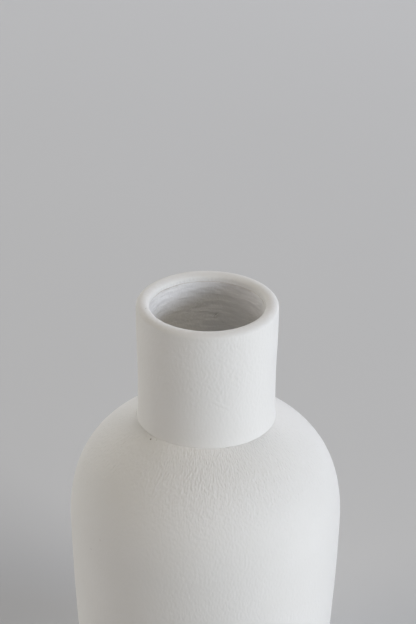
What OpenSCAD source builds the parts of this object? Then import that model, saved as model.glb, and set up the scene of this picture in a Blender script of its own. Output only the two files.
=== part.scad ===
// Ceramic bud vase: a straight neck luted into the shoulder of a tapering bottle body.
// Millimetres, +Z up, origin at the centre of the plane that the foot ring stands on.
// Every piece is a solid of revolution. Each outline is a path of [radius, height] points,
// and pieces that touch share one path, so that their faces meet exactly.

/* [Overall] */
// Height from the table to the top of the lip
vase_h = 170; // [155:1:220]

/* [Neck] */
// Outside diameter of the neck just under the lip
neck_d = 52; // [50:0.5:54]
// Height of the neck from the crease at the shoulder to the top of the lip
neck_h = 46.7; // [35:0.1:60]
// Outside diameter at the waist, the narrowest place of the neck
waist_d = 50.5; // [49.5:0.1:52]
// Outside diameter at the crease, where the neck flares a little into the shoulder
root_d = 51.5; // [51:0.1:52]
// Diameter of the mouth's glazed bore
mouth_d = 42.2; // [40:0.1:43]
// Height of the lip's rounding on the outside
lip_h = 1.85; // [1:0.05:2.5]
// Height of the lip's rounding inside the mouth
lip_in_h = 1.5; // [1:0.05:2.2]
// Depth inside the mouth at which the outer coat stops and the glaze starts
coat_line = 3.0; // [2.8:0.1:5]

/* [Body] */
// Largest diameter of the body
belly_d = 100.8; // [90:0.1:112]
// Drop from the crease to the widest place
belly_drop = 41; // [34:0.5:50]
// Slope of the shoulder where it leaves the crease, in degrees below level
shoulder_slope = 29; // [25:1:35]
// Outside diameter of the foot
foot_d = 85; // [78:0.5:88]
// Slope of the wall just above the foot, in degrees from upright
foot_slope = 30; // [20:1:35]

/* [Walls] */
// Thickness of the fired clay in the body
wall = 4.6; // [4:0.1:5.5]
// Thickness of the clay floor
floor_t = 6; // [5:0.5:8]
// Thickness of the matt coat outside
coat_t = 0.4; // [0.3:0.05:0.5]
// Thickness of the glaze inside
glaze_t = 0.4; // [0.3:0.05:0.5]

/* [Neck joint] */
// Depth of the rebate in the shoulder that the neck's foot sits in
seat_drop = 1.5; // [1.3:0.1:1.8]
// Depth of the neck's spigot under the crease
spigot_drop = 4.2; // [4:0.1:4.3]
// Wall of the spigot
spigot_wall = 1.9; // [1.6:0.1:2.1]
// Thickness of the slip film between neck and body
slip_t = 0.3; // [0.2:0.05:0.3]
// Reach of the smoothed coil along the body's inner wall, outwards from the bore
coil_reach = 5.6; // [5:0.1:6.5]

/* [Foot] */
// Width of the bare foot ring
foot_ring_w = 8; // [7:0.5:10]
// Height of the well inside the foot ring
well_h = 2; // [1:0.5:3]
// Bare clay left under the coat's lower edge
bare_h = 3; // [2:0.5:5]

/* [Hidden] */
$fn = 180;

crease_z = vase_h - neck_h;
crease_r = root_d / 2;
belly_r = belly_d / 2;
belly_z = crease_z - belly_drop;
foot_r = foot_d / 2;
bore_r = mouth_d / 2;
clay_bore_r = bore_r + glaze_t; // bare clay inside the neck

// How far each curve runs straight on from its ends before it bends
shoulder_pull = 13;
belly_pull = [0.62, 0.14]; // above and below the widest place, as shares of belly_drop
foot_pull = 11;
root_pull = 2.2;
waist_pull = 4;
coil_pull = [1.9, 2.4]; // at the spigot and on the body's inner wall
corner_pull = 0.6; // of a rounded corner, as a share of its sides

heel_side = 13; // rounding between the inner wall and the floor
foot_round = 1.2; // rounding of the foot ring's outer edge
groove = 0.35; // half the width of the groove between coat and glaze
coat_lap = 0.15; // lip of the coat standing back from the glazed bore
edge_round = 0.5; // height over which the body's coat thins out at its lower edge
straight = 1; // end of the straight bore above the spigot's foot

shoulder_steps = 26;
flank_steps = 30;
neck_steps = 16;
lip_steps = 20;
coil_steps = 10;
corner_steps = 8;

// A cubic Bezier curve through 4 control points, as steps + 1 points
function bezier(p, steps) = [for (i = [0:steps]) let (t = i / steps, u = 1 - t)
    u * u * u * p[0] + 3 * u * u * t * p[1] + 3 * u * t * t * p[2] + t * t * t * p[3]];
// A rounded corner from a to b
function rounded(a, corner, b) =
    bezier([a, a + corner_pull * (corner - a), b + corner_pull * (corner - b), b], corner_steps);
// A path from its second point on
function tail(path) = [for (i = [1:len(path) - 1]) path[i]];
function reversed(path) = [for (i = [len(path) - 1:-1:0]) path[i]];
// Unit direction of a path at point i, taken across its neighbours
function heading(path, i) = let (d = path[min(i + 1, len(path) - 1)] - path[max(i - 1, 0)]) d / norm(d);
// A path moved sideways by d, to the right of its direction
function beside(path, d) = [for (i = [0:len(path) - 1]) let (h = heading(path, i)) path[i] + d * [h[1], -h[0]]];
function above(path, z) = [for (p = path) if (p[1] > z) p];
function between(path, top, bottom) = [for (p = path) if (p[1] < top && p[1] > bottom) p];
// Height of a falling path at radius r, on its first stretch that reaches r
function z_at(path, r, i = 0) = path[i + 1][0] >= r || i >= len(path) - 2
    ? path[i][1] + (r - path[i][0]) * (path[i + 1][1] - path[i][1]) / (path[i + 1][0] - path[i][0])
    : z_at(path, r, i + 1);
// Point of a falling path at height z
function at(path, z, i = 0) = path[i + 1][1] <= z || i >= len(path) - 2
    ? [path[i][0] + (z - path[i][1]) * (path[i + 1][0] - path[i][0]) / (path[i + 1][1] - path[i][1]), z]
    : at(path, z, i + 1);

// The body's outside, from the crease down over the shoulder and the belly to the foot
shoulder = bezier([
    [crease_r, crease_z],
    [crease_r, crease_z] + shoulder_pull * [cos(shoulder_slope), -sin(shoulder_slope)],
    [belly_r, belly_z + belly_pull[0] * belly_drop],
    [belly_r, belly_z]], shoulder_steps);
flank = bezier([
    [belly_r, belly_z],
    [belly_r, belly_z - belly_pull[1] * belly_drop],
    [foot_r, 0] + foot_pull * [sin(foot_slope), cos(foot_slope)],
    [foot_r, 0]], flank_steps);
body_skin = concat(shoulder, tail(flank));
// The same, on the clay under the coat and on the clay inside
body_clay = beside(body_skin, coat_t);
body_inside = beside(body_skin, coat_t + wall);

// The neck's outside, from the crease up over the lip's crest to the line inside the mouth
lip_z = vase_h - lip_h;
line_z = vase_h - coat_line;
lip_in_r = bore_r + coat_lap;
crest_r = (neck_d / 2 + lip_in_r) / 2;
waist = [waist_d / 2, crease_z + neck_h / 4];
neck_skin = concat(
    bezier([
        [crease_r, crease_z],
        [crease_r - root_pull / 4, crease_z + root_pull],
        waist - [0, neck_h / 4 - waist_pull],
        waist], neck_steps),
    tail(bezier([
        waist,
        waist + [0, neck_h / 4],
        [neck_d / 2, lip_z - neck_h / 3],
        [neck_d / 2, lip_z]], neck_steps)));
// Two quarters of an ellipse that meet on the crest, then straight down to the groove
lip_skin = concat(
    [for (i = [0:lip_steps]) let (a = 180 * i / lip_steps, drop = a > 90 ? lip_in_h : lip_h)
        [crest_r + (neck_d / 2 - crest_r) * cos(a), vase_h - drop * (1 - sin(a))]],
    [[lip_in_r, line_z + groove]]);
neck_clay = beside(concat(neck_skin, tail(lip_skin)), -coat_t);

// The neck joint
joint_r = crease_r - coat_t; // outside of the neck's clay at its foot
seat_z = crease_z - seat_drop;
spigot_z = crease_z - spigot_drop;
spigot_r = clay_bore_r + spigot_wall;
rebate_r = joint_r + slip_t;
opening_r = spigot_r + slip_t;
shoulder_clay = [for (p = body_clay) if (p[0] > rebate_r && p[1] > foot_round) p];
// The clay of the shoulder carried on inwards as a cone, to meet the neck
function on_shoulder(r) = let (p = shoulder_clay[0]) [r, p[1] + (p[0] - r) * tan(shoulder_slope)];

// The foot ring
well_z = well_h;
floor_z = well_z + floor_t;
foot_corner = at(body_clay, 0);
foot_edge = rounded(at(body_clay, foot_round), foot_corner, foot_corner - [foot_round, 0]);

// The inside of the body from the neck's opening to the floor
coil_end = [clay_bore_r + coil_reach, z_at(body_inside, clay_bore_r + coil_reach)];
opening_end = [opening_r, z_at(body_inside, opening_r)];
coil_face = bezier([
    [clay_bore_r, spigot_z],
    [clay_bore_r, spigot_z - coil_pull[0]],
    coil_end + coil_pull[1] * [-cos(shoulder_slope), sin(shoulder_slope)],
    coil_end], coil_steps);
heel_top = at(body_inside, floor_z + heel_side);
heel_lean = at(body_inside, heel_top[1] + 1)[0] - heel_top[0];
heel_corner = [heel_top[0] - heel_lean * heel_side, floor_z];
heel = rounded(heel_top, heel_corner, heel_corner - [heel_side, 0]);
wall_inside = between(body_inside, coil_end[1], heel_top[1]);
cavity_clay = concat(coil_face, wall_inside, heel, [[0, floor_z]]);
glaze_path = concat([
    [clay_bore_r, line_z - groove],
    [clay_bore_r, spigot_z + straight]], cavity_clay);

module lathe(outline) rotate_extrude() polygon(outline);

// Stoneware vessel: foot ring, floor, tapering wall and shoulder, open at the top
module body() {
    ring_r = foot_r - foot_ring_w;
    color("antiquewhite") lathe(concat(
        [on_shoulder(rebate_r)],
        shoulder_clay,
        foot_edge,
        [[ring_r, 0],
         [ring_r - well_h, well_z],
         [0, well_z],
         [0, floor_z]],
        reversed(heel),
        reversed(wall_inside),
        [coil_end,
         opening_end,
         [opening_r, seat_z],
         [rebate_r, seat_z]]));
}

// Straight neck with its rounded lip, stepped at the bottom into a spigot
module neck() {
    color("antiquewhite") lathe(concat(
        [[joint_r, seat_z + slip_t],
         on_shoulder(joint_r)],
        above(neck_clay, crease_z),
        [[clay_bore_r, line_z],
         [clay_bore_r, spigot_z],
         [spigot_r, spigot_z],
         [spigot_r, seat_z + slip_t]]));
}

// Film of slip that luted the neck's foot and spigot into the shoulder
module joint_slip() {
    color("wheat") lathe([
        on_shoulder(joint_r),
        on_shoulder(rebate_r),
        [rebate_r, seat_z],
        [opening_r, seat_z],
        [opening_r, spigot_z],
        [spigot_r, spigot_z],
        [spigot_r, seat_z + slip_t],
        [joint_r, seat_z + slip_t]]);
}

// Coil of clay pressed into the corner under the spigot and smoothed over
module seam_coil() {
    color("tan") lathe(concat(
        coil_face,
        [opening_end,
         [opening_r, spigot_z]]));
}

// Matt textured coat on the body, from the crease to just above the bare foot
module body_coat() {
    color("whitesmoke") lathe(concat(
        above(body_skin, bare_h + 2 * edge_round),
        [at(body_skin, bare_h + edge_round),
         at(body_clay, bare_h)],
        reversed(above(shoulder_clay, bare_h + edge_round)),
        [on_shoulder(rebate_r),
         on_shoulder(joint_r)]));
}

// The same coat on the neck, wrapped over the lip to the line inside the mouth
module neck_coat() {
    color("whitesmoke") lathe(concat(
        neck_skin,
        tail(lip_skin),
        [[clay_bore_r, line_z]],
        reversed(above(neck_clay, crease_z)),
        [on_shoulder(joint_r)]));
}

// Watertight satin glaze inside, from the line under the lip down to the floor
module glaze_liner() {
    color("lavender") lathe(concat(
        [[clay_bore_r, line_z]],
        glaze_path,
        reversed(beside(glaze_path, glaze_t))));
}

body();
neck();
joint_slip();
seam_coil();
body_coat();
neck_coat();
glaze_liner();
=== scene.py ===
import math

import bmesh
import bpy
from mathutils import Matrix, Vector, noise


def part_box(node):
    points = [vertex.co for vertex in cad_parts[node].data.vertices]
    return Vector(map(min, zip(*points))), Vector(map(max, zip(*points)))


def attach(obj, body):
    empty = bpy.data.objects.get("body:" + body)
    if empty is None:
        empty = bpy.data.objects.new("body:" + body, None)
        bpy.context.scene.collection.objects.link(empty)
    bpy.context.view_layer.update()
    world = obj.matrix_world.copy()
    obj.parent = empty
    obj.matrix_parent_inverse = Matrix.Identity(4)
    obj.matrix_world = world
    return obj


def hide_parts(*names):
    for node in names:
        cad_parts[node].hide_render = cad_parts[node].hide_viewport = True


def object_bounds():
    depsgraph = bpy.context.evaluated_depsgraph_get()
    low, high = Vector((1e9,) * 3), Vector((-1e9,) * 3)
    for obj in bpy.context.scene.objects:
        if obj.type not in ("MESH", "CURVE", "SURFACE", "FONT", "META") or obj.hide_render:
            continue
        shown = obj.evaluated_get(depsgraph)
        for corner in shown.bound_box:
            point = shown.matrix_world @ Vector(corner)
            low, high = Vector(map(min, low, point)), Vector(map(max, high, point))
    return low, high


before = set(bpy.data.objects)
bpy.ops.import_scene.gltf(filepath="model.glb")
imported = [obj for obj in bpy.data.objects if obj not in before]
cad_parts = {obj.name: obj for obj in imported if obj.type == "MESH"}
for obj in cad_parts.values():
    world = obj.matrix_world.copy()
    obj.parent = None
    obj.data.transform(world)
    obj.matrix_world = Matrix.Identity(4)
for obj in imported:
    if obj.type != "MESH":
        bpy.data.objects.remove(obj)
cad_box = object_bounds()

# --- Camera ---------------------------------------------------------------------------------
# A long lens on a stand a little over a metre away. It looks down into the mouth, so the foot
# of the vase is outside the view.
lip_top = cad_box[1].z
stand_off = 1.2323
stand_angle = math.radians(27.784)
look_down = math.radians(27.959)
look_right = math.radians(0.0116)
lean = math.radians(0.587)

camera_back = stand_off * math.cos(stand_angle)
camera_height = lip_top + stand_off * math.sin(stand_angle)

camera = bpy.data.objects.new("camera", bpy.data.cameras.new("camera"))
camera.data.lens = 196.15
camera.data.sensor_width = 36
camera.data.clip_end = 30
camera.matrix_world = (
    Matrix.Translation((0, -camera_back, camera_height))
    @ Matrix.Rotation(-look_right, 4, "Z")
    @ Matrix.Rotation(math.pi / 2 - look_down, 4, "X")
    @ Matrix.Rotation(lean, 4, "Z")
)
bpy.context.scene.collection.objects.link(camera)
bpy.context.scene.camera = camera


# --- Body -----------------------------------------------------------------------------------
# The vessel is buff stoneware, turned on a wheel: a foot ring, a floor and a tapering wall up to
# the rebate that takes the neck. Only its bare foot shows, with the rings that the tool cut in it.
# Lengths are in metres, but a material's lengths are in millimetres.
tiny = 1e-7
sharp_turn = math.radians(30)


def outline(node):
    """The closed path of (radius, height) points that a node of the frame was turned from."""
    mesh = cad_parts[node].data
    seam = {v.index: Vector((round(v.co.x, 7), round(v.co.z, 7))).freeze()
            for v in mesh.vertices if abs(v.co.y) < tiny and v.co.x > -tiny}
    joined = {}
    for edge in mesh.edges:
        a, b = (seam.get(v) for v in edge.vertices)
        if a and b and a != b:
            joined.setdefault(a, set()).add(b)
            joined.setdefault(b, set()).add(a)
    here = min(joined, key=lambda p: (len(joined[p]), p.x, p.y))
    path = []
    while here:
        path.append(here)
        here = min((p for p in joined[here] if p not in path), key=tuple, default=None)
    turning = sum(a.x * b.y - b.x * a.y for a, b in zip(path, path[1:] + path[:1]))
    return path if turning > 0 else path[::-1]


def neighbours(path, i):
    return path[i - 1], path[i], path[(i + 1) % len(path)]


def is_corner(path, i):
    before, here, after = neighbours(path, i)
    return here.x == 0 or (here - before).angle(after - here) > sharp_turn


def eased(path, size):
    """The same path with its corners rounded off by about that size."""
    most_of_a_side = 0.4
    soft = []
    for i in range(len(path)):
        before, here, after = neighbours(path, i)
        if here.x == 0 or not is_corner(path, i):
            soft.append(here)
            continue
        start = here.lerp(before, min(size / (here - before).length, most_of_a_side))
        end = here.lerp(after, min(size / (here - after).length, most_of_a_side))
        soft += [start.lerp(here, t).lerp(here.lerp(end, t), t) for t in (0, 0.25, 0.5, 0.75, 1)]
    return soft


def refined(path, step):
    """The same path as a smooth curve between its corners, with a point every step."""
    fine = []
    for i, here in enumerate(path):
        there = path[(i + 1) % len(path)]
        if here.x == 0 and there.x == 0:
            fine.append(here)
            continue
        span = there - here
        headings = []
        for k in (i, (i + 1) % len(path)):
            before, _, after = neighbours(path, k)
            heading = span if is_corner(path, k) else after - before
            headings.append(heading.normalized() * span.length)
        count = max(1, math.ceil(span.length / step))
        for t in (k / count for k in range(count)):
            fine.append(here * (2 * t**3 - 3 * t**2 + 1) + headings[0] * (t**3 - 2 * t**2 + t)
                        + there * (3 * t**2 - 2 * t**3) + headings[1] * (t**3 - t**2))
    return fine


def turned(name, path, around, relief, shares=None):
    """A closed piece: the path carried round the axis, and uneven by relief(point, outward).

    A point of the path takes only its share of the relief, where shares are given."""
    mesh = bmesh.new()
    rings = []
    for i, here in enumerate(path):
        share = shares[i] if shares else 1
        if here.x < tiny:
            rings.append([mesh.verts.new((0, 0, here.y))] * around)
            continue
        before, _, after = neighbours(path, i)
        facing = (after - before).normalized()
        ring = []
        for angle in (math.tau * k / around for k in range(around)):
            spoke = Vector((math.cos(angle), math.sin(angle), 0))
            point = spoke * here.x + Vector((0, 0, here.y))
            outward = spoke * facing.y - Vector((0, 0, facing.x))
            ring.append(mesh.verts.new(point + relief(point, outward) * share if share else point))
        rings.append(ring)
    for lower, upper in zip(rings, rings[1:] + rings[:1]):
        for k in range(around):
            corners = (lower[k], lower[k - 1], upper[k - 1], upper[k])
            different = list(dict.fromkeys(corners))
            if len(different) > 2:
                mesh.faces.new(different).smooth = True
    bmesh.ops.recalc_face_normals(mesh, faces=mesh.faces)
    data = bpy.data.meshes.new(name)
    mesh.to_mesh(data)
    mesh.free()
    piece = bpy.data.objects.new(name, data)
    bpy.context.scene.collection.objects.link(piece)
    return piece


def fade(value, low, high):
    """A smooth climb from 0 at low to 1 at high."""
    t = min(max((value - low) / (high - low), 0), 1)
    return t * t * (3 - 2 * t)


class Wire:
    """One socket of a material's nodes. Sums and products of numbers add Math nodes."""

    def __init__(self, tree, socket=None):
        self.tree = tree
        self.socket = socket

    def node(self, kind, settings=None, sockets=None, out=0):
        made = self.tree.nodes.new(kind)
        for name, value in (settings or {}).items():
            setattr(made, name, value)
        for name, value in (sockets or {}).items():
            if isinstance(value, Wire):
                self.tree.links.new(value.socket, made.inputs[name])
            else:
                made.inputs[name].default_value = value
        return Wire(self.tree, made.outputs[out])

    def math(self, operation, *values):
        return self.node("ShaderNodeMath", {"operation": operation}, dict(enumerate(values)))

    def __add__(self, other):
        return self.math("ADD", self, other)

    def __sub__(self, other):
        return self.math("SUBTRACT", self, other)

    def __rsub__(self, other):
        return self.math("SUBTRACT", other, self)

    def __mul__(self, other):
        return self.math("MULTIPLY", self, other)

    __radd__ = __add__
    __rmul__ = __mul__


class Finish:
    """A material with constant sockets, and a colour, roughness and relief that vary over it."""

    def __init__(self, name, **constants):
        self.material = bpy.data.materials.new(name)
        self.material.use_nodes = True
        self.shader = self.material.node_tree.nodes["Principled BSDF"]
        for socket, value in constants.items():
            self.shader.inputs[socket.replace("_", " ")].default_value = value
        self.wire = Wire(self.material.node_tree)

    def vector(self, operation, *values, out=0):
        return self.wire.node(
            "ShaderNodeVectorMath", {"operation": operation}, dict(enumerate(values)), out)

    def point(self, *stretch):
        """A point of the surface in millimetres, scaled along each axis."""
        where = self.wire.node("ShaderNodeTexCoord", out=3)
        scale = [1000 * s for s in stretch or (1, 1, 1)]
        return self.vector("MULTIPLY", where, scale)

    def mottle(self, point, size, detail=1.0, warp=0.0):
        """Noise from 0 to 1, with blotches of about that size in millimetres."""
        return self.wire.node("ShaderNodeTexNoise", None, {
            "Vector": point, "Scale": 1 / size, "Detail": detail, "Distortion": warp})

    def cells(self, point, size):
        """Distance to the nearest of many points strewn about that far apart in millimetres."""
        nearest = self.wire.node("ShaderNodeTexVoronoi", None, {"Vector": point, "Scale": 1 / size})
        return nearest * size

    def climb(self, value, low, high):
        """A number that climbs smoothly from 0 at low to 1 at high."""
        return self.wire.node("ShaderNodeMapRange", {"interpolation_type": "SMOOTHSTEP"}, {
            "Value": value, "From Min": low, "From Max": high})

    def height_above(self, point):
        """Height above the table in millimetres."""
        return self.wire.node("ShaderNodeSeparateXYZ", None, {"Vector": point}, out=2)

    def along_wall(self, radius, stretch):
        """A point of a turned wall in millimetres, brought to one radius and scaled up the wall."""
        across = self.vector("MULTIPLY", self.point(), (1, 1, 0))
        away = self.vector("LENGTH", across, out=1)
        spoke = self.vector("NORMALIZE", across)
        # On the flat of a shoulder the way along the wall is mostly inwards
        climbed = self.height_above(self.point()) - away * 0.6
        up = self.wire.node("ShaderNodeCombineXYZ", None, {"Z": climbed * stretch})
        return self.vector("MULTIPLY_ADD", spoke, (radius, radius, 0), up)

    def mark(self, centre, sizes, lean=0.0, turn=0.0):
        """A soft mark, 1 in its middle, at a centre and with half sizes in millimetres.

        It leans down and turns round by those degrees."""
        inside = self.wire.node("ShaderNodeMapping", {"vector_type": "TEXTURE"}, {
            "Vector": self.point(), "Location": centre, "Scale": sizes,
            "Rotation": (0, math.radians(lean), math.radians(turn))})
        return 1 - self.climb(self.vector("LENGTH", inside, out=1), 0.4, 1)

    def blend(self, amount, first, second):
        """A colour between two colours."""
        return self.wire.node(
            "ShaderNodeMix", {"data_type": "RGBA"}, {0: amount, 6: first, 7: second}, out=2)

    def set(self, colour, roughness, height):
        """Feeds the shader. The height is in millimetres."""
        bump = self.wire.node("ShaderNodeBump", None, {"Distance": 0.001, "Height": height})
        for socket, value in (("Base Color", colour), ("Roughness", roughness), ("Normal", bump)):
            self.material.node_tree.links.new(value.socket, self.shader.inputs[socket])


def stoneware():
    buff, pale_buff = (0.60, 0.52, 0.43, 1), (0.70, 0.63, 0.54, 1)
    iron_brown = (0.22, 0.14, 0.09, 1)
    clay = Finish("stoneware", Specular_IOR_Level=0.3)
    point = clay.point()
    warmth = clay.mottle(point, 9, detail=3.0)
    iron = 1 - clay.climb(clay.cells(point, 2.6), 0.16, 0.34)
    grog = clay.mottle(point, 0.55, detail=2.0)
    clay.set(
        colour=clay.blend(iron * 0.7, clay.blend(warmth, buff, pale_buff), iron_brown),
        roughness=0.86 + 0.1 * grog,
        height=0.05 * grog + 0.03 * warmth)
    return clay.material


foot_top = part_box("body_coat")[0].z
clay_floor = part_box("glaze_liner")[0].z
trim_pitch = 0.0017
trim_depth = 0.00005


def trimmed(point, outward):
    """Shallow spiral ridges on the bare foot, where the turning tool pared it."""
    if point.z > clay_floor - 0.001:
        return Vector()
    radius = math.hypot(point.x, point.y)
    bare = fade(radius, 0.001, 0.004) * (1 - fade(point.z, foot_top - 0.0012, foot_top - 0.0002))
    round_axis = math.atan2(point.y, point.x) / math.tau
    along = radius / trim_pitch + round_axis + 0.25 * noise.noise(point * 90)
    ridge = 0.5 + 0.5 * math.sin(math.tau * along)
    return outward * bare * -trim_depth * max(ridge * ridge + 0.6 * noise.noise(point * 300), 0)


body_path = refined(eased(outline("body"), size=0.0003), step=0.0007)
body = turned("stoneware_body", body_path, around=240, relief=trimmed)
body.data.materials.append(stoneware())
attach(body, "root")
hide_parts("body")

# --- Neck -----------------------------------------------------------------------------------
# The collar is the same stoneware, thrown apart from the body and cut square. Its spigot drops
# into the shoulder, and its clay shows only at the bottom of the line inside the mouth.
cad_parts["neck"].data.materials[0] = stoneware()


# --- Joint slip and seam coil ---------------------------------------------------------------
# Slip brushed on the scored rebate glues the neck in, and a coil of soft clay is thumbed over the
# seam inside. Fired, both are a shade darker and finer than the stoneware.
def fired_slip(name, stroke):
    """Slip or soft clay that was brushed or thumbed round the vase, with strokes of that scale."""
    slip_brown, slip_buff = (0.50, 0.42, 0.33, 1), (0.60, 0.52, 0.42, 1)
    slip = Finish(name, Specular_IOR_Level=0.3)
    brushed = slip.mottle(slip.point(1, 1, stroke), 2.5, detail=3.0, warp=0.6)
    grain = slip.mottle(slip.point(), 0.4, detail=2.0)
    slip.set(
        colour=slip.blend(brushed, slip_brown, slip_buff),
        roughness=0.82 + 0.12 * grain,
        height=0.08 * brushed + 0.02 * grain)
    return slip.material


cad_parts["joint_slip"].data.materials[0] = fired_slip("joining_slip", 4)
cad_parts["seam_coil"].data.materials[0] = fired_slip("thumbed_coil", 0.6)


# --- Body coat ------------------------------------------------------------------------------
# A matt white vitreous coat, sponged on thick and left unpolished, so that it dried with a fine
# leathery skin. It runs from the crease under the neck to just above the bare foot.
clay_outlines = [outline(node) for node in ("body", "neck", "joint_slip", "seam_coil")]
crease_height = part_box("neck_coat")[0].z
line_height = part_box("glaze_liner")[1].z
groove_bottom = Vector((min(point.x for point in outline("neck")), line_height))
coat_edge = 0.0003


def clay_depth(point):
    """Distance from a (radius, height) point to the nearest outline of the clay."""
    nearest = math.inf
    for path in clay_outlines:
        for start, end in zip(path, path[1:] + path[:1]):
            span = end - start
            along = min(max((point - start).dot(span) / max(span.length_squared, tiny**2), 0), 1)
            nearest = min(nearest, (point - start - span * along).length)
    return nearest


def openness(point):
    """1 where a coat is open to the air, or ends at the bottom of the groove, and 0 on the clay."""
    if (point - groove_bottom).length < coat_edge:
        return 1
    return fade(clay_depth(point), 0.00004, coat_edge)


def shell(name, node, around, relief):
    """A coat or glaze: uneven where it is open to the air, and plain where it lies on the clay."""
    path = refined(eased(outline(node), size=0.00012), step=0.00068)
    shares = [openness(point) for point in path]
    hidden_step = 6
    kept = [i for i in range(len(path)) if i % hidden_step == 0 or any(neighbours(shares, i))]
    return turned(name, [path[i] for i in kept], around, relief, [shares[i] for i in kept])


def hand_made(point, outward):
    """Slow waves and soft dents of a thrown wall. Both coats follow one wavering crease."""
    spoke = Vector((point.x, point.y, 0)).normalized()
    away = abs(point.z - crease_height)
    waves = 0.00008 * noise.noise(point / 0.045)
    dents = 0.00003 * noise.noise(point / 0.013 + Vector((7, 3, 1)))
    skin = 0.000008 * noise.noise(point / 0.0036)
    waver = 0.00006 * noise.noise(spoke * 6)
    return (outward * (waves + dents + skin) * fade(away, 0, 0.003)
            + spoke * waver * (1 - fade(away, 0, 0.004)))


def matt_coat(name, radius, skin_height, rougher_from, rougher_to, gain, marks):
    """The coat's finish. Its wrinkles grow by gain between two heights in millimetres.

    A mark is a place and shape, how dark it is, and how far it stands out."""
    white, warm_white = (0.815, 0.805, 0.785, 1), (0.79, 0.778, 0.755, 1)
    pinhole_brown = (0.30, 0.26, 0.22, 1)
    coat = Finish(name, Specular_IOR_Level=0.35)
    point = coat.point()
    cloud = coat.mottle(point, 22, detail=3.0)
    skin = coat.mottle(coat.along_wall(radius, 0.58), 0.85, detail=0.5)
    pinholes = 1 - coat.climb(coat.cells(point, 17), 0.12, 0.34)
    rougher = 1 + gain * coat.climb(coat.height_above(point), rougher_from, rougher_to)
    dark = pinholes * 0.5
    height = skin_height * rougher * skin + 0.05 * cloud - 0.08 * pinholes
    for shape, darkness, relief in marks:
        mask = coat.mark(**shape)
        dark = dark + mask * darkness
        height = height + mask * relief
    coat.set(
        colour=coat.blend(dark, coat.blend(cloud, white, warm_white), pinhole_brown),
        roughness=0.68 + 0.06 * skin,
        height=height)
    return coat.material


crease_mm = 1000 * crease_height
glaze_pops = [
    # Pinholes beside the crease, and two faint specks of iron low on the left
    (dict(centre=(-20.2, -18.0, crease_mm - 0.46), sizes=(0.42, 0.42, 0.42)), 1.0, -0.2),
    (dict(centre=(-18.0, -19.2, crease_mm - 0.06), sizes=(0.3, 0.3, 0.3)), 0.5, -0.1),
    (dict(centre=(-41.9, -28.0, crease_mm - 41.5), sizes=(0.7, 0.7, 0.5)), 0.16, 0.0),
    (dict(centre=(-38.4, -32.3, crease_mm - 35.0), sizes=(0.6, 0.6, 0.5)), 0.12, 0.0),
]
body_coat = shell("body_coat_skin", "body_coat", around=300, relief=hand_made)
body_coat.data.materials.append(matt_coat(
    "matt_white_body", radius=50, skin_height=0.1,
    rougher_from=crease_mm - 29, rougher_to=crease_mm - 5, gain=1.5, marks=glaze_pops))
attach(body_coat, "root")
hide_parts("body_coat")

# --- Neck coat ------------------------------------------------------------------------------
# The same coat on the neck, smoothed with upright strokes of a damp sponge. It wraps over the
# rounded lip and ends inside the mouth, where it was wiped back to a wandering line.
mouth_radius = min(point.x for point in outline("glaze_liner") if point.y > crease_height)


def wiped(point, reach):
    """The line where coat and glaze meet wanders up and down, and its groove is nearly full."""
    spoke = Vector((point.x, point.y, 0)).normalized()
    off_line = abs(point.z - line_height)
    wander = 0.0002 + 0.00014 * noise.noise(spoke * 4) + 0.00007 * noise.noise(spoke * 15)
    full = 0.72 + 0.5 * noise.noise(spoke * 3 + Vector((2, 5, 9)))
    depth = max(math.hypot(point.x, point.y) - mouth_radius, 0)
    return (Vector((0, 0, wander)) * (1 - fade(off_line, 0.0002, reach))
            - spoke * depth * min(full, 0.95) * (1 - fade(off_line, 0.0002, 0.0007)))


def wrapped(point, outward):
    """The neck coat: nearly smooth where it wraps into the mouth, and wiped along its end there."""
    if math.hypot(point.x, point.y) < groove_bottom.x + 0.001:
        return hand_made(point, outward) * 0.3 + wiped(point, 0.0016)
    return hand_made(point, outward) * 0.8


slid = dict(lean=30, turn=12)
finger_slip = [
    # A long shallow ripple low on the front, where a finger slid on the wet coat
    (dict(centre=(5.1, -24.8, crease_mm + 17.9), sizes=(4.6, 1.2, 0.9), **slid), 0.0, 0.035),
    (dict(centre=(5.6, -24.7, crease_mm + 16.5), sizes=(4.2, 1.2, 0.9), **slid), 0.0, -0.025),
]
neck_coat = shell("neck_coat_skin", "neck_coat", around=320, relief=wrapped)
neck_coat.data.materials.append(matt_coat(
    "matt_white_neck", radius=23, skin_height=0.06,
    rougher_from=crease_mm + 7, rougher_to=crease_mm + 29, gain=1.4, marks=finger_slip))
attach(neck_coat, "root")
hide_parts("neck_coat")


# --- Glaze liner ----------------------------------------------------------------------------
# Satin glaze poured in, swilled round and poured out, so that it covers the wall from the line
# under the lip down to the floor. It softens the throwing rings and the marks of tools under it.
def poured(point, outward):
    rings = noise.noise(Vector((point.x / 0.03, point.y / 0.03, point.z / 0.0045)))
    swell = noise.noise(point / 0.016)
    in_neck = fade(point.z, crease_height - 0.006, crease_height + 0.004)
    off_axis = fade(math.hypot(point.x, point.y), 0.002, 0.01)
    ring_height = off_axis * (0.00009 - 0.00005 * in_neck)
    return outward * ring_height * (rings + 0.5 * swell) + wiped(point, 0.0012)


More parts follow.
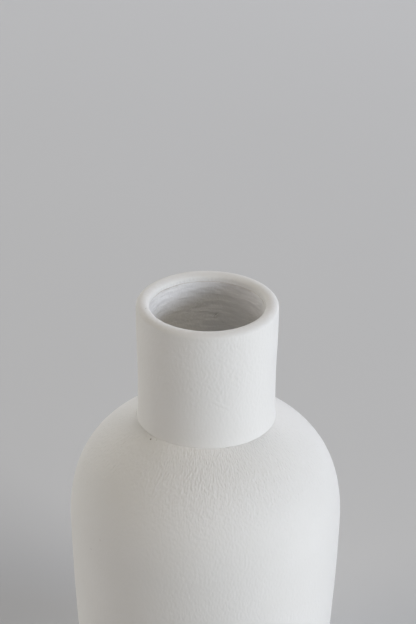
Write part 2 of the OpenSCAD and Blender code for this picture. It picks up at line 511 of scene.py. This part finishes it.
def satin_glaze():
    white, grey_white = (0.81, 0.802, 0.792, 1), (0.78, 0.768, 0.752, 1)
    # Clay grey, for bare clay and for the painted shade under the coat's edge
    clay_and_shade_grey = (0.45, 0.42, 0.38, 1)
    line_mm = 1000 * line_height
    glaze = Finish("satin_liner_glaze", Specular_IOR_Level=0.4)
    point = glaze.point()
    cloud = glaze.mottle(point, 14, detail=2.0)
    wiped_rings = glaze.mottle(glaze.point(0.3, 0.3, 1), 2.0, detail=1.5, warp=0.4)
    grain = glaze.mottle(point, 0.9)
    # A tool caught the wet wall at the back, and left a nick with a burr. A nail left a scratch.
    nick = glaze.mark((3.0, 20.9, line_mm - 13.4), (1.7, 0.5, 0.32), lean=-45, turn=-8)
    burr = glaze.mark((3.5, 20.8, line_mm - 13.8), (1.6, 0.5, 0.35), lean=-45, turn=-8)
    scratch = glaze.mark((-3.7, 20.8, line_mm - 8.3), (1.3, 0.5, 0.25), lean=-35, turn=10)
    # Patches under the coat's edge darken to clay grey: painted shade in the groove, and bare clay
    edge = glaze.climb(glaze.height_above(point), line_mm - 1, line_mm - 0.2)
    edge_shade_and_bare_clay = edge * glaze.climb(glaze.mottle(point, 8, detail=2.0), 0.48, 0.6)
    # The colour takes the nick, the scratch and the painted shade under the coat's edge towards
    # clay grey
    glaze.set(
        colour=glaze.blend(
            nick * 0.12 + scratch * 0.1 + edge_shade_and_bare_clay * 0.3,
            glaze.blend(cloud, white, grey_white), clay_and_shade_grey),
        roughness=0.42 + 0.12 * wiped_rings,
        height=0.65 * wiped_rings + 0.1 * grain - 0.22 * nick + 0.2 * burr - 0.14 * scratch)
    return glaze.material


liner = shell("glaze_liner_skin", "glaze_liner", around=260, relief=poured)
liner.data.materials.append(satin_glaze())
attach(liner, "root")
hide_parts("glaze_liner")

# --- Floor and light ------------------------------------------------------------------------
# A pale grey painted floor, plain and wide enough to fill the view, under soft window light from
# the right and a little from the front.
floor_mesh = bmesh.new()
bmesh.ops.create_circle(floor_mesh, cap_ends=True, segments=96, radius=6)
floor = bpy.data.objects.new("floor", bpy.data.meshes.new("floor"))
floor_mesh.to_mesh(floor.data)
floor_mesh.free()
bpy.context.scene.collection.objects.link(floor)
grey, light_grey = (0.60, 0.60, 0.60, 1), (0.62, 0.62, 0.62, 1)
paint = Finish("grey_paint", Specular_IOR_Level=0.2)
speck = paint.mottle(paint.point(), 0.8)
drift = paint.mottle(paint.point(), 240)
paint.set(
    colour=paint.blend(drift, grey, light_grey),
    roughness=0.8 + 0.1 * speck,
    height=0.01 * speck)
floor.data.materials.append(paint.material)

lamp_distance = 2.2
lights = [
    # name, degrees round from +X, degrees up, width, height, watts, colour
    ("window", -28, 16, 1.5, 0.42, 32.5, (0.82, 0.88, 1.0)),
    ("window_low", -50, 6, 0.8, 0.3, 6.0, (1.0, 1.0, 0.86)),
    ("window_top", -40, 45, 0.9, 0.6, 7.2, (1.0, 0.91, 0.74)),
    ("rear_window", 75, 15, 1.2, 0.6, 11.3, (0.88, 0.91, 1.0)),
    ("rear_top", 85, 45, 1.4, 0.8, 15.5, (0.96, 0.96, 1.0)),
    ("left_wall", 155, 15, 1.2, 0.6, 7.6, (0.92, 1.0, 0.94)),
    ("left_front", 195, 15, 1.2, 0.6, 8.8, (1.0, 0.94, 0.95)),
    ("left_top", 190, 45, 1.2, 0.7, 6.3, (1.0, 0.9, 0.74)),
]
middle = Vector((0, 0, cad_box[1].z / 2))
for name, turn, rise, width, height, watts, colour in lights:
    lamp = bpy.data.objects.new(name, bpy.data.lights.new(name, "AREA"))
    lamp.data.shape = "RECTANGLE"
    lamp.data.size = width
    lamp.data.size_y = height
    lamp.data.energy = watts
    lamp.data.color = colour
    turn, rise = math.radians(turn), math.radians(rise)
    toward = Vector((math.cos(turn), math.sin(turn), math.tan(rise))).normalized()
    lamp.location = middle + toward * lamp_distance
    lamp.rotation_euler = toward.to_track_quat("Z", "Y").to_euler()
    bpy.context.scene.collection.objects.link(lamp)

sky = bpy.data.worlds.new("sky")
sky.use_nodes = True
sky.node_tree.nodes["Background"].inputs["Strength"].default_value = 0
bpy.context.scene.world = sky
bpy.context.scene.view_settings.view_transform = "Standard"
